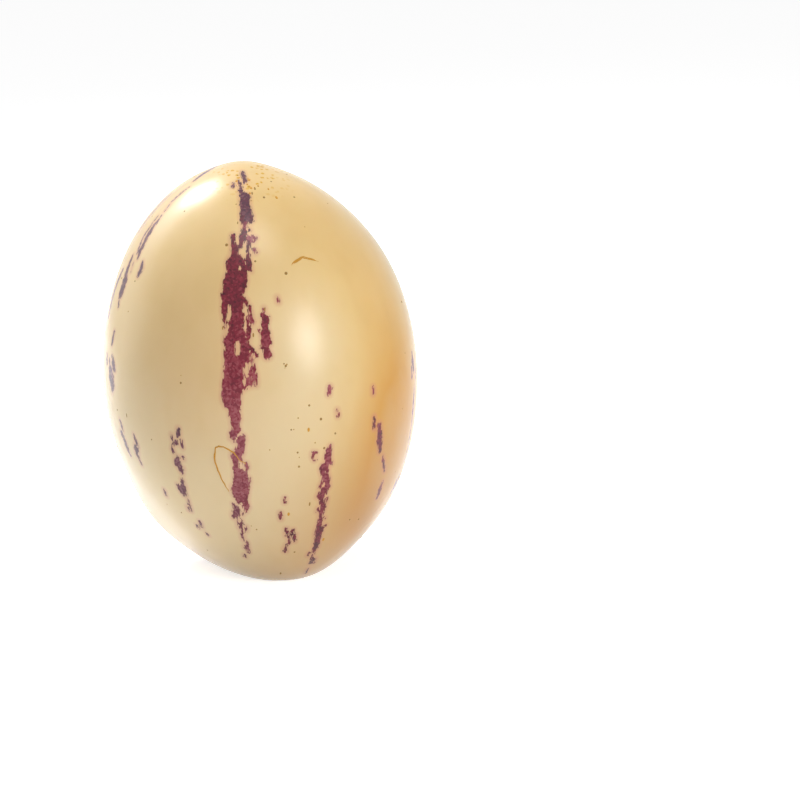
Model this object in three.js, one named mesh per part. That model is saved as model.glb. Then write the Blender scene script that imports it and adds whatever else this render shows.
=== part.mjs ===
// Whole pepino melon, standing on the three shallow lobes round its stem end.
// Millimetres, +Z up. The origin is on the surface that the fruit rests on, under the middle of its bounding box.
import * as THREE from 'three';
import { mergeVertices } from 'three/addons/utils/BufferGeometryUtils.js';

// Body: an egg-shaped berry, a little narrower towards the blossom tip at the top.
const EQUATOR_RADIUS = 36.3;
const HALF_LENGTH = 48.5;
const TIP_PINCH = 0.036;          // share of the radius lost at the tip
const TIP_PINCH_START = 0.55;     // height, as a share of the half length, where the narrowing starts
const TIP_RISE = 0.86;            // small nipple at the blossom tip
const TIP_RISE_RADIUS = 7;

// The core line leans: the tip goes to -X and the stem end to +X.
const LEAN_LINEAR = 0.4;
const LEAN_CUBIC = 3;

// Hollow at the stem end, from which the stalk grew.
const DIMPLE_DEPTH = 9;
const DIMPLE_RADIUS = 8.5;

// Broad swellings and shallow valleys. Longitude is in degrees from -Y towards +X, latitude is negative
// towards the stem end, height is in millimetres along the way out, and spread is in degrees.
const SWELLINGS = [
  { longitude: 11, latitude: -67, height: 1.6, spread: 16 },     // front foot lobe
  { longitude: -122, latitude: -67, height: 1.7, spread: 16 },   // left rear foot lobe
  { longitude: 126, latitude: -67, height: 1.5, spread: 16 },    // right rear foot lobe
  { longitude: 180, latitude: -66, height: -1.1, spread: 14 },   // rear valley
  { longitude: 79, latitude: -60, height: -1.7, spread: 14 },    // right valley
  { longitude: -80, latitude: -50, height: -2.5, spread: 22 },   // left valley
  { longitude: -92, latitude: -44, height: 1.9, spread: 11 },    // left shoulder, above that valley
];

// Slow unevenness of a grown skin: waves along three directions.
const WAVES = [
  { direction: [2.6, -1.4, 3.1], phase: 0.4, height: 0.16 },
  { direction: [-3.4, 2.2, 1.7], phase: 2.1, height: 0.12 },
  { direction: [1.2, 4.1, -2.8], phase: 4.4, height: 0.12 },
];

// How far up the lowest lobe the fruit's own weight has pressed flat pads.
const PAD_CUT = 0.6;

// Mesh of the fruit: steps round it and from end to end.
const STEPS_ROUND = 64;
const STEPS_ALONG = 46;

// Stalk scar: the thin corky plate left in the dimple where the stalk broke off.
const SCAR_RADIUS = 2.6;
const SCAR_THICKNESS = 1.1;
const SCAR_GAP = 0.35;            // clearance between the plate and the dimple's wall
const SCAR_DISH = 0.3;            // depth of the dished, broken face
const SCAR_RIDGES = 5;            // the stalk's strands stand out as ridges on the rim
const SCAR_RIDGE_HEIGHT = 0.2;
const SCAR_STEPS_ROUND = 30;

const smoothStep = (value, low, high) => {
  const share = Math.min(Math.max((value - low) / (high - low), 0), 1);
  return share * share * (3 - 2 * share);
};

// A unit vector from a longitude and a latitude in degrees.
function direction(longitude, latitude) {
  const turn = THREE.MathUtils.degToRad(longitude);
  const rise = THREE.MathUtils.degToRad(latitude);
  return new THREE.Vector3(Math.cos(rise) * Math.sin(turn), -Math.cos(rise) * Math.cos(turn), Math.sin(rise));
}

const swellings = SWELLINGS.map(({ longitude, latitude, height, spread }) => ({
  centre: direction(longitude, latitude),
  height,
  spread: THREE.MathUtils.degToRad(spread),
}));
const waves = WAVES.map((wave) => ({ ...wave, direction: new THREE.Vector3(...wave.direction) }));

// Distance that the swellings and the unevenness push the skin outwards along a unit vector.
function push(way) {
  let height = 0;
  for (const swelling of swellings) {
    height += swelling.height * Math.exp((way.dot(swelling.centre) - 1) / swelling.spread ** 2);
  }
  for (const wave of waves) height += wave.height * Math.sin(way.dot(wave.direction) + wave.phase);
  return height;
}

// The skin's point for a unit vector, before the fruit is set on its pads.
function skinPoint(way) {
  const height = way.z;
  const across = Math.hypot(way.x, way.y);
  const radius = EQUATOR_RADIUS * across;
  const narrowing = 1 - TIP_PINCH * smoothStep(height, TIP_PINCH_START, 1);
  const point = new THREE.Vector3(
    EQUATOR_RADIUS * way.x * narrowing - LEAN_LINEAR * height - LEAN_CUBIC * height ** 3,
    EQUATOR_RADIUS * way.y * narrowing,
    HALF_LENGTH * height,
  );
  if (height > 0) point.z += TIP_RISE * Math.exp(-((radius / TIP_RISE_RADIUS) ** 2));
  else point.z += DIMPLE_DEPTH * Math.exp(-((radius / DIMPLE_RADIUS) ** 2));
  return point.addScaledVector(way, push(way));
}

// Moves every vertex of a geometry by a function of its own point.
function reshape(geometry, move) {
  const positions = geometry.attributes.position;
  const point = new THREE.Vector3();
  for (let index = 0; index < positions.count; index += 1) {
    point.fromBufferAttribute(positions, index);
    const moved = move(point);
    positions.setXYZ(index, moved.x, moved.y, moved.z);
  }
  return geometry;
}

// Joins the seam and the poles of a lathed or spherical geometry, so that it is one closed surface.
function closed(geometry) {
  geometry.deleteAttribute('normal');
  geometry.deleteAttribute('uv');
  const merged = mergeVertices(geometry, 1e-4);
  merged.computeVertexNormals();
  return merged;
}

function makeSkin() {
  const ball = new THREE.SphereGeometry(1, STEPS_ROUND, STEPS_ALONG);
  ball.rotateX(Math.PI / 2);
  return reshape(ball, (point) => skinPoint(point.clone().normalize()));
}

// Where the fruit stands: pads PAD_CUT above its lowest point, under the middle of its box.
function findFoot(skin) {
  skin.computeBoundingBox();
  const { min, max } = skin.boundingBox;
  return new THREE.Vector3((min.x + max.x) / 2, (min.y + max.y) / 2, min.z + PAD_CUT);
}

// Sets the skin on its pads: what would reach below the resting plane is pressed flat.
function makeFruit(skin, foot) {
  return closed(reshape(skin, (point) => {
    const placed = point.clone().sub(foot);
    placed.z = Math.max(placed.z, 0);
    return placed;
  }));
}

// The plate's section, from its back on the dimple to its dished face. Each entry is a share of the radius and a
// share of the thickness, where 1 is the back and 0 the face.
const SCAR_SECTION = [
  [0, SCAR_DISH / SCAR_THICKNESS],
  [0.45, SCAR_DISH / SCAR_THICKNESS],
  [0.8, 0],
  [0.95, 0.15],
  [1, 0.55],
  [0.92, 1],
  [0.5, 1],
  [0, 1],
];

function makeScar(foot) {
  const section = SCAR_SECTION.map(([across, height]) => new THREE.Vector2(across, height));
  const plate = new THREE.LatheGeometry(section, SCAR_STEPS_ROUND);
  plate.rotateX(Math.PI / 2);
  const middle = skinPoint(new THREE.Vector3(0, 0, -1));
  return closed(reshape(plate, (point) => {
    const across = Math.hypot(point.x, point.y);
    const turn = Math.atan2(point.x, -point.y);
    const radius = across * (SCAR_RADIUS + SCAR_RIDGE_HEIGHT * across * Math.cos(SCAR_RIDGES * turn));
    const reach = radius / EQUATOR_RADIUS;
    const wall = skinPoint(new THREE.Vector3(
      reach * Math.sin(turn),
      -reach * Math.cos(turn),
      -Math.sqrt(1 - reach ** 2),
    ));
    return new THREE.Vector3(
      middle.x + radius * Math.sin(turn),
      middle.y - radius * Math.cos(turn),
      wall.z - SCAR_GAP - SCAR_THICKNESS * (1 - point.z),
    ).sub(foot);
  }));
}

const skinFinish = new THREE.MeshStandardMaterial({ color: 0xe6cf9c, roughness: 0.38, metalness: 0 });
const corkFinish = new THREE.MeshStandardMaterial({ color: 0x5f4024, roughness: 0.9, metalness: 0 });

const melon = new THREE.Group();
const skin = makeSkin();
const foot = findFoot(skin);

const fruit = new THREE.Mesh(makeFruit(skin, foot), skinFinish);
fruit.name = 'fruit';
melon.add(fruit);

const scar = new THREE.Mesh(makeScar(foot), corkFinish);
scar.name = 'stalk_scar';
melon.add(scar);

export default melon;
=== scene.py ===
"""A whole pepino melon, standing on the low lobes round its stalk dimple with its tip up.

The pale gold skin, the broken purple streaks that run down it, the corky marks on it
and the dry stalk scar below are made here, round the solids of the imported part.
"""

import logging
import math
from dataclasses import dataclass, field
from enum import Enum
from typing import Any, Sequence

import bpy
import numpy as np
from bpy.types import ID, Light, Material, Mesh, Node, NodeInputs, NodeSocket, NodeTree, Object, World
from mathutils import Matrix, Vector
from mathutils.bvhtree import BVHTree
from mathutils.kdtree import KDTree


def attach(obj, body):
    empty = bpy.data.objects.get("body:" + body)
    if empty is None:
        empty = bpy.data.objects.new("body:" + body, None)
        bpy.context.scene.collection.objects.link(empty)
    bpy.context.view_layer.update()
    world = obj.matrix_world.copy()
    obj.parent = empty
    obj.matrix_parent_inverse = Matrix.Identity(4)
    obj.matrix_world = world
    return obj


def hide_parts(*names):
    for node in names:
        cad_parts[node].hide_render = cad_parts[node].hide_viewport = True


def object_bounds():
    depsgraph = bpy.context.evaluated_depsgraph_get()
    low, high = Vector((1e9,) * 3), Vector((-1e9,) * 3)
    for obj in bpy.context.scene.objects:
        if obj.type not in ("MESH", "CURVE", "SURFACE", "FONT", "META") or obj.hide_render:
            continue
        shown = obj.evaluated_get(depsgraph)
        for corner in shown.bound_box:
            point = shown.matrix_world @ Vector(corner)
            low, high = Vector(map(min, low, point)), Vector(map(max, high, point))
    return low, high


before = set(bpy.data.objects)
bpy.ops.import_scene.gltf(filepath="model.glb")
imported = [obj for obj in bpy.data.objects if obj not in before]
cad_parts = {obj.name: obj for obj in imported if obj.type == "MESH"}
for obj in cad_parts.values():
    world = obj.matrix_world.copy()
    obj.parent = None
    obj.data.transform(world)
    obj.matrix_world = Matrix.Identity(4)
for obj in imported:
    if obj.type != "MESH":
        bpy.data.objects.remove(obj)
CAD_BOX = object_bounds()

MM = 0.001
FRUIT = "fruit"
STALK_SCAR = "stalk_scar"
BODY = "root"
LOG = logging.getLogger("pepino_melon")
MIDDLE = (CAD_BOX[0] + CAD_BOX[1]) / 2

# The fruit's two driving sizes, in millimetres: its radius at the widest ring, and half its length.
EQUATOR_RADIUS = 36.3
HALF_LENGTH = 48.5

Place = tuple[float, float]
Feed = Node | NodeSocket
Stroke = tuple[tuple[float, float, float], ...]
Patches = tuple[tuple[float, float, float, float], ...]


class Slot(Enum):
    """The record's material slots."""

    SKIN = "skin"
    CORK = "cork"


class Speck(Enum):
    """The kinds of corky speck: how wide and how long each is, in millimetres, and how pale."""

    DOT = (0.42, 0.44, 0.20)
    BLOB = (0.60, 0.65, 0.15)
    DASH = (0.34, 0.95, 0.30)
    OCHRE = (0.50, 0.85, 0.95)
    FAINT = (0.28, 0.30, 0.50)


def linear(code: str) -> tuple[float, float, float, float]:
    """Turn an sRGB hex code into a linear colour.

    Args:
        code: Six hex digits.

    Returns:
        Red, green, blue and an alpha of one.
    """
    parts = [int(code[i : i + 2], 16) / 255 for i in (0, 2, 4)]
    red, green, blue = (p / 12.92 if p <= 0.04045 else ((p + 0.055) / 1.055) ** 2.4 for p in parts)
    return red, green, blue, 1.0


def add_node(tree: NodeTree, kind: str, inputs: dict[int | str, Any] | None = None, **settings: Any) -> Node:
    """Add one node with its settings, input values and links.

    Args:
        tree: The tree that gets the node.
        kind: Blender's name for this kind of node.
        inputs: For each socket, a value, the output that feeds it, or the node whose first output does.
        settings: The node's own properties.

    Returns:
        The new node.
    """
    made = tree.nodes.new(kind)
    for name, value in settings.items():
        setattr(made, name, value)
    for socket, value in (inputs or {}).items():
        if isinstance(value, Node):
            value = next(out for out in value.outputs if out.enabled)
        if isinstance(value, NodeSocket):
            tree.links.new(value, made.inputs[socket])
        else:
            made.inputs[socket].default_value = value
    return made


def add_object(name: str, data: ID) -> Object:
    """Make an object for a mesh, a lamp or a camera, and put it in the scene."""
    made = bpy.data.objects.new(name, data)
    bpy.context.scene.collection.objects.link(made)
    return made


def empty_tree(owner: Material | World | Light) -> NodeTree:
    """Switch a material, a world or a lamp over to nodes, with none in its tree yet."""
    owner.use_nodes = True
    owner.node_tree.nodes.clear()
    return owner.node_tree


def spread_colours(ramp: Node, codes: Sequence[str], places: Sequence[float]) -> None:
    """Set a ramp of three colours.

    Args:
        ramp: The ramp's node.
        codes: The hex codes of its first, middle and last colour.
        places: Where each of them lies on the ramp.
    """
    stops = ramp.color_ramp.elements
    stops[1].position, stops[1].color = places[2], linear(codes[2])
    stops[0].position, stops[0].color = places[0], linear(codes[0])
    stops.new(places[1]).color = linear(codes[1])


def new_shape_tree(name: str, sizes: dict[str, float]) -> tuple[NodeTree, Node]:
    """Start a Geometry Nodes tree with one named input for each size.

    Args:
        name: The tree's name.
        sizes: The inputs' names and their starting values.

    Returns:
        The tree and its input node.
    """
    tree = bpy.data.node_groups.new(name, "GeometryNodeTree")
    tree.interface.new_socket("Geometry", in_out="INPUT", socket_type="NodeSocketGeometry")
    tree.interface.new_socket("Geometry", in_out="OUTPUT", socket_type="NodeSocketGeometry")
    for label, value in sizes.items():
        socket = tree.interface.new_socket(label, in_out="INPUT", socket_type="NodeSocketFloat")
        socket.default_value = value
    return tree, add_node(tree, "NodeGroupInput")


def close_shape_tree(tree: NodeTree, shape: Feed, finish: Material) -> None:
    """End a tree with real geometry that carries its material.

    Args:
        tree: The tree to end.
        shape: The geometry to put out.
        finish: The material that the geometry gets.
    """
    real = add_node(tree, "GeometryNodeRealizeInstances", {"Geometry": shape})
    dressed = add_node(tree, "GeometryNodeSetMaterial", {"Geometry": real, "Material": finish})
    add_node(tree, "NodeGroupOutput", {"Geometry": dressed})


def grow_piece(name: str, tree: NodeTree, sizes: dict[str, float], seed_mesh: Mesh | None = None) -> Object:
    """Run a tree once and keep what it makes as a plain mesh.

    Args:
        name: The new piece's name.
        tree: The Geometry Nodes tree.
        sizes: The value for each of the tree's named inputs.
        seed_mesh: The mesh that the tree starts from, where it needs one.

    Returns:
        The new object, at the origin and with no modifier.
    """
    start = add_object(name + "_start", seed_mesh or bpy.data.meshes.new(name + "_start"))
    modifier = start.modifiers.new("shape", "NODES")
    modifier.node_group = tree
    for item in tree.interface.items_tree:
        if item.in_out == "INPUT" and item.name in sizes:
            modifier[item.identifier] = sizes[item.name]
    graph = bpy.context.evaluated_depsgraph_get()
    graph.update()
    mesh = bpy.data.meshes.new_from_object(start.evaluated_get(graph), depsgraph=graph)
    mesh.name = name
    piece = add_object(name, mesh)
    start.modifiers.clear()
    bpy.data.objects.remove(start)
    return piece


def direction(longitude: float, latitude: float) -> np.ndarray:
    """The unit vector out of the middle of the fruit.

    Args:
        longitude: Degrees round the fruit from its front, towards +X.
        latitude: Degrees above its widest ring.

    Returns:
        Three numbers.
    """
    turn, lift = math.radians(longitude), math.radians(latitude)
    return np.array((math.sin(turn) * math.cos(lift), -math.cos(turn) * math.cos(lift), math.sin(lift)))


def hand_over(piece: Object) -> None:
    """Tie a finished piece to the fruit's body and log its size.

    Args:
        piece: The piece.
    """
    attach(piece, BODY)
    corners = np.array([tuple(c) for c in piece.bound_box]) / MM
    low, high = corners.min(0), corners.max(0)
    count = sum(len(p.vertices) - 2 for p in piece.data.polygons)
    LOG.info("%s: %d triangles, from %s to %s mm", piece.name, count, low.round(2), high.round(2))


# ---------------------------------------------------------------------------------------------
# The streaks. A stroke runs down the skin through its places: each is a longitude and a
# latitude in degrees, and half the stroke's width in millimetres. BARE holds the clear
# slits inside them.
# ---------------------------------------------------------------------------------------------

FRONT_TIP: tuple[Stroke, ...] = (
    ((-2.5, 79, 0.25), (-2, 77, 0.45), (-0.5, 74.5, 0.45), (0.5, 72.3, 0.45), (-0.8, 71, 0.3)),
    ((-7.5, 72.7, 0.2), (-6, 70.5, 0.35), (-5, 68.5, 0.4), (-5, 66.5, 0.45), (-4.5, 65, 0.5)),
    (
        (-2.5, 64.3, 1.0), (-2.2, 62, 1.1), (-2.2, 60, 1.15), (-2, 58, 1.25), (-1.9, 56, 1.35),
        (-1.8, 54.8, 1.45),
    ),
    ((0.5, 65, 0.25), (0.8, 63.5, 0.5)),
    ((-14, 71, 0.2), (-13, 69.5, 0.35), (-13, 68.5, 0.35)),
)
FRONT_UPPER: tuple[Stroke, ...] = (
    ((-3.5, 55, 0.9), (-4, 53.5, 0.65), (-4.2, 52.6, 0.4)),
    ((0, 55, 0.8), (0.6, 53.6, 0.55), (0, 52.5, 0.3)),
    (
        (-4, 50, 0.4), (-3.5, 49.2, 0.6), (-4.4, 48.2, 0.8), (-4.6, 47, 0.8), (-5.6, 46, 0.5),
        (-6, 45, 0.5), (-6.1, 44.2, 0.25), (-6.1, 43.7, 0.1),
    ),
    ((-0.7, 49.9, 0.25), (-0.7, 49.5, 0.25)),
    (
        (-1.7, 45.5, 0.35), (-2.3, 44, 0.28), (-2.4, 42, 0.28), (-2.6, 40.8, 0.4), (-2.8, 39, 0.62),
        (-2.6, 38, 0.6), (-2.2, 37, 0.4), (-1.7, 36.4, 0.15),
    ),
    ((-10, 47.8, 0.42), (-10, 46, 0.45), (-10, 44.5, 0.45)),
    ((-9.2, 43.8, 0.65), (-9, 42.5, 0.75), (-9, 41, 0.8), (-9, 40, 0.9)),
    (
        (-8.5, 39.5, 1.7), (-8.2, 38.5, 2.1), (-7.8, 36.5, 2.1), (-8, 35, 2.35), (-8.2, 34, 2.5),
        (-8.6, 33, 2.5), (-8.9, 32, 2.4), (-9.7, 30, 2.3), (-9.5, 28, 2.3), (-9.6, 27, 2.25),
    ),
    (
        (-12.4, 26, 0.6), (-12.5, 25, 0.65), (-12.4, 24, 0.53), (-12.3, 23, 0.45), (-11.9, 22, 0.3),
        (-12, 20.4, 0.27),
    ),
    (
        (-7.8, 26, 1.3), (-7.8, 25, 1.25), (-7.2, 24, 1.1), (-7.7, 23, 1.65), (-8.6, 22, 1.2),
        (-8.7, 21, 1.15), (-8.2, 20, 1.3), (-7.9, 19, 1.9), (-8.2, 18, 2.2), (-8.4, 17, 2.2),
    ),
    ((-10.3, 17, 1.1), (-10.2, 15, 1.2), (-10.2, 14, 1.4), (-10, 12.8, 1.5)),
    ((-5.6, 17, 0.9), (-5.2, 15, 1.25), (-5.3, 14, 1.15), (-5.5, 12.8, 1.2)),
    (
        (-8, 12.9, 0.6), (-8.5, 12, 1.8), (-8.8, 11, 2.2), (-8.8, 10, 2.2), (-9, 9, 2.25), (-9.2, 7.5, 2.2),
        (-9.4, 5.5, 2.3), (-9.7, 4, 2.1), (-9.9, 3, 2.1), (-9.9, 1.8, 2.0),
    ),
    ((-4.2, 12.6, 0.4), (-3.9, 11.3, 0.3)),
    (
        (-9.1, 1.2, 1.25), (-9, 0, 1.3), (-9, -1, 1.15), (-8.7, -2.3, 1.2), (-8.6, -3, 1.1), (-9, -4, 0.8),
        (-8.6, -5, 0.82), (-8.4, -6.3, 0.75),
    ),
    (
        (-5.5, 28.8, 0.4), (-4.4, 28, 0.4), (-3.9, 27, 0.36), (-3.1, 26.4, 0.36), (-3, 25.3, 0.28),
        (-2.6, 24.6, 0.32),
    ),
    ((-3.4, 20.7, 0.4), (-3.5, 19.5, 0.32), (-3.6, 18.5, 0.38), (-3.6, 17.9, 0.25)),
    ((-3.8, 16, 0.3), (-3.3, 15.1, 0.45), (-2, 14.4, 0.3), (-0.8, 13.4, 0.3)),
    ((-2.1, 11.2, 0.2), (-1.9, 10, 0.3), (-1.4, 8.8, 0.3), (-1.2, 7.2, 0.28), (-1.2, 5.7, 0.25)),
    ((-6, 5.3, 0.5), (-5.2, 5, 0.3)),
    (
        (2.2, 24, 0.5), (2.8, 23.2, 0.8), (2.4, 22, 0.7), (2.4, 20.8, 0.62), (2.3, 19.5, 1.0),
        (2.6, 18, 1.03), (2.7, 16.6, 0.95), (2.6, 15.5, 0.65), (2.5, 15, 0.5), (2.8, 14, 0.85),
        (2.9, 13.5, 0.9),
    ),
    ((0.4, 20.2, 0.25), (1.2, 19.7, 0.4)),
    ((0.8, 15.7, 0.2), (0.8, 15.3, 0.25)),
)
FRONT_MOTTLE: tuple[Stroke, ...] = (
    ((-3.5, 52.5, 0.5), (-3.7, 50.5, 0.6)),
    ((-2.2, 47, 0.6), (0, 47, 0.7), (1.8, 47, 0.35)),
    ((-1.5, 46.3, 0.6), (0.3, 45.8, 0.45)),
    ((0.6, 43.3, 0.3), (1.2, 42.5, 0.35), (0.8, 42, 0.25)),
    ((-2.7, 23.6, 0.6), (-2.4, 22.5, 0.7), (-2.3, 22, 0.6)),
    ((-3.7, 23.2, 0.2), (-3.8, 21, 0.2)),
    ((-3, 14, 0.4), (-2.5, 12, 0.5)),
    ((-3.5, 10.3, 0.4), (-3.3, 9.3, 0.5)),
    ((-5, 8.5, 0.9), (-3, 8, 1.2), (-3.2, 6.5, 1.0)),
    ((-12.1, 18.4, 0.25), (-12.2, 16.8, 0.25)),
)
FRONT_LOWER: tuple[Stroke, ...] = (
    ((-9.6, -7, 0.75), (-9.3, -7.6, 0.6)),
    ((-10.6, -7.3, 0.2), (-10.6, -8.4, 0.22)),
    (
        (-6.2, -7.8, 0.45), (-6.8, -8.6, 0.95), (-7, -9, 0.93), (-7.1, -10, 0.8), (-7.4, -11, 0.8),
        (-7.7, -12, 1.0), (-8.3, -12.7, 1.1), (-9.1, -13.2, 1.1), (-9.1, -14, 0.75), (-9.2, -15, 0.66),
        (-9.3, -16, 0.63), (-9, -17, 0.7), (-8.9, -18, 0.8), (-8.2, -18.6, 1.3), (-7.9, -19.2, 1.6),
        (-7.8, -20, 1.65), (-7.7, -21, 1.67), (-7.9, -22, 1.8), (-8.5, -23, 1.95), (-8.6, -24, 1.9),
        (-8.4, -25, 1.6), (-8.3, -26, 1.3),
    ),
    ((-9.4, -9, 0.22), (-9.4, -9.2, 0.2)),
    ((-9.6, -26.3, 0.4), (-9.8, -27.5, 0.15)),
    ((-7.1, -27, 0.7), (-7.1, -28, 0.66), (-6.9, -28.8, 0.68), (-7.2, -29.6, 0.38), (-7.3, -30.5, 0.25)),
    ((-8, -13.6, 0.22), (-6.5, -15, 0.2), (-6, -16.3, 0.25)),
    ((-5.4, -15.2, 0.25), (-5.3, -16.2, 0.35), (-5.8, -17.5, 0.15)),
    ((-4.9, -19.5, 0.2), (-4.9, -20.8, 0.2)),
)
FRONT_TAIL: tuple[Stroke, ...] = (
    ((-12, -28, 0.2), (-11.3, -29, 0.45), (-11, -30, 0.65), (-11.5, -31, 0.85), (-11.9, -32, 0.7)),
    ((-13, -32, 0.35), (-13, -33, 0.28)),
    ((-11.3, -32.5, 0.25), (-11.4, -34, 0.27), (-11.5, -35.5, 0.25), (-11.7, -36.7, 0.15)),
    (
        (-10, -33.2, 0.18), (-10, -34.8, 0.25), (-10.5, -36, 0.4), (-10.6, -37.2, 0.4),
        (-10.9, -38.2, 0.28), (-10.8, -39.5, 0.32), (-10.9, -40.7, 0.32), (-11.2, -41.7, 0.2),
    ),
    ((-8.4, -35.9, 0.22), (-8.6, -37, 0.27), (-8.9, -37.9, 0.22)),
    ((-9.9, -41.8, 0.2), (-10, -43.2, 0.28), (-10.5, -44.7, 0.5), (-10.4, -46, 0.35), (-10.5, -47.3, 0.28)),
    ((-11.3, -44.8, 0.3), (-11.4, -45.3, 0.25)),
    ((-12.9, -48.6, 0.15), (-13.4, -50, 0.25)),
    ((-8.9, -31.3, 0.2), (-8.9, -31.7, 0.22)),
)
RIGHT_STRIPE: tuple[Stroke, ...] = (
    (
        (25.2, -11.4, 0.25), (25, -12, 0.4), (24.6, -12.8, 0.6), (24.5, -14, 0.75), (24.5, -15.5, 0.92),
        (24.2, -16, 0.7),
    ),
    ((25.8, -16, 0.3), (25.9, -16.6, 0.25)),
    (
        (23, -16.9, 0.7), (23, -17.8, 0.9), (22.8, -18.5, 0.6), (23.3, -19.5, 0.55), (24, -20, 0.9),
        (24.5, -21, 0.9), (25, -22.2, 0.65), (25.4, -23.5, 0.55),
    ),
    ((24.5, -17, 0.45), (24.6, -18.6, 0.3)),
    ((23, -21.8, 0.4), (22.5, -22.8, 0.35), (22.2, -23.7, 0.25)),
    (
        (24, -24.3, 0.75), (23.6, -25.6, 0.85), (23.4, -27, 0.5), (23.8, -28.7, 0.5), (24.3, -30.3, 0.75),
        (24.2, -31.8, 0.62), (24, -33, 0.48), (24.3, -34.7, 0.47), (24.4, -36.2, 0.58), (24.4, -37.5, 0.8),
        (24.5, -39, 0.95), (24.7, -41, 0.8), (24.7, -43, 0.63), (24.9, -45.8, 0.68), (24.6, -47.2, 0.48),
        (24.2, -48.4, 0.2),
    ),
    ((21.7, -25.6, 0.25), (21.5, -26.4, 0.28)),
    ((25.6, -27.2, 0.3), (25.6, -28.8, 0.3)),
    ((22.3, -30.3, 0.22), (22.2, -31.3, 0.25)),
    ((26.2, -33.9, 0.15), (26.3, -34.3, 0.18)),
    ((26.6, -37.3, 0.2), (27.2, -36.9, 0.25)),
    ((21.8, -48, 0.2), (21.5, -49.3, 0.28)),
    ((24.3, -49.3, 0.2), (24.6, -51, 0.28), (24.6, -53.8, 0.3)),
    ((26.8, -51.6, 0.25), (26.6, -54, 0.32)),
    ((24.5, -57, 0.15), (24.5, -60.5, 0.22)),
    ((18.6, -13, 0.35), (19.6, -13, 0.3)),
    ((18.5, -13.5, 0.35), (18.7, -14.3, 0.28)),
    ((19.2, -15, 0.18), (19.9, -14.8, 0.15)),
    ((8.3, -26, 0.25), (8.3, -27.4, 0.25)),
    ((6.5, -30.8, 0.28), (6.7, -32, 0.34), (6.8, -33.1, 0.3)),
    ((9.2, -36.9, 0.33), (9.2, -38, 0.38), (9.4, -39.7, 0.35)),
    ((12.2, -37.3, 0.2), (11.6, -38.3, 0.3), (11.8, -39.4, 0.3)),
    ((13.2, -39.2, 0.3), (12.8, -40.2, 0.32), (13.2, -41.3, 0.22), (13.4, -42.3, 0.18)),
    ((10.6, -40.6, 0.15), (10.4, -41.5, 0.35), (10.7, -42.7, 0.22)),
    ((9.4, -43.2, 0.22), (9.4, -43.6, 0.22)),
    ((8.8, -44.7, 0.3), (8.7, -46.3, 0.38)),
)
LEFT_COLUMN: tuple[Stroke, ...] = (
    ((-30, -6.8, 0.4), (-30.1, -7.8, 0.48), (-30.7, -9, 0.25)),
    ((-31.2, -10, 0.35), (-31.3, -10.8, 0.35)),
    ((-33.2, -8.6, 0.2), (-33, -9.8, 0.25)),
    ((-32.5, -10.7, 0.2), (-33.2, -11.7, 0.25), (-33.6, -12.7, 0.28), (-33, -13.6, 0.22)),
    ((-29.3, -9.7, 0.25), (-29.3, -10.8, 0.25), (-28.9, -11.8, 0.18)),
    ((-31.5, -15, 0.45), (-32.3, -16, 0.65), (-32.7, -17, 0.5)),
    ((-31.5, -15.5, 0.4), (-31.6, -16.5, 0.3)),
    ((-29.6, -14.7, 0.3), (-29.5, -15.1, 0.3)),
    ((-31.5, -17.4, 0.4), (-31.5, -18.3, 0.55), (-31.2, -19.3, 0.4)),
    ((-30.2, -17.9, 0.25), (-30.2, -18.1, 0.25)),
    (
        (-31.8, -21.7, 0.4), (-31.8, -22.8, 0.42), (-32.3, -23.8, 0.8), (-33, -24.7, 1.05),
        (-33.3, -25.6, 0.8),
    ),
    ((-34.8, -23.6, 0.25), (-34.5, -24.4, 0.4)),
    ((-33.4, -26.4, 0.3), (-33.5, -26.9, 0.18)),
    ((-32, -26, 0.3), (-31.9, -27.3, 0.2)),
    ((-31.8, -28.3, 0.2), (-32, -29.6, 0.24), (-32.2, -31.2, 0.25), (-32.6, -32.4, 0.2)),
    ((-33.7, -30.8, 0.15), (-34, -32.3, 0.2)),
    ((-30.2, -36.1, 0.35), (-30.4, -37.2, 0.35), (-30.6, -38.2, 0.25)),
    ((-33, -37.8, 0.2), (-33, -39, 0.27)),
    ((-29.6, -40.8, 0.15), (-29.4, -41.6, 0.22)),
)
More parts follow.
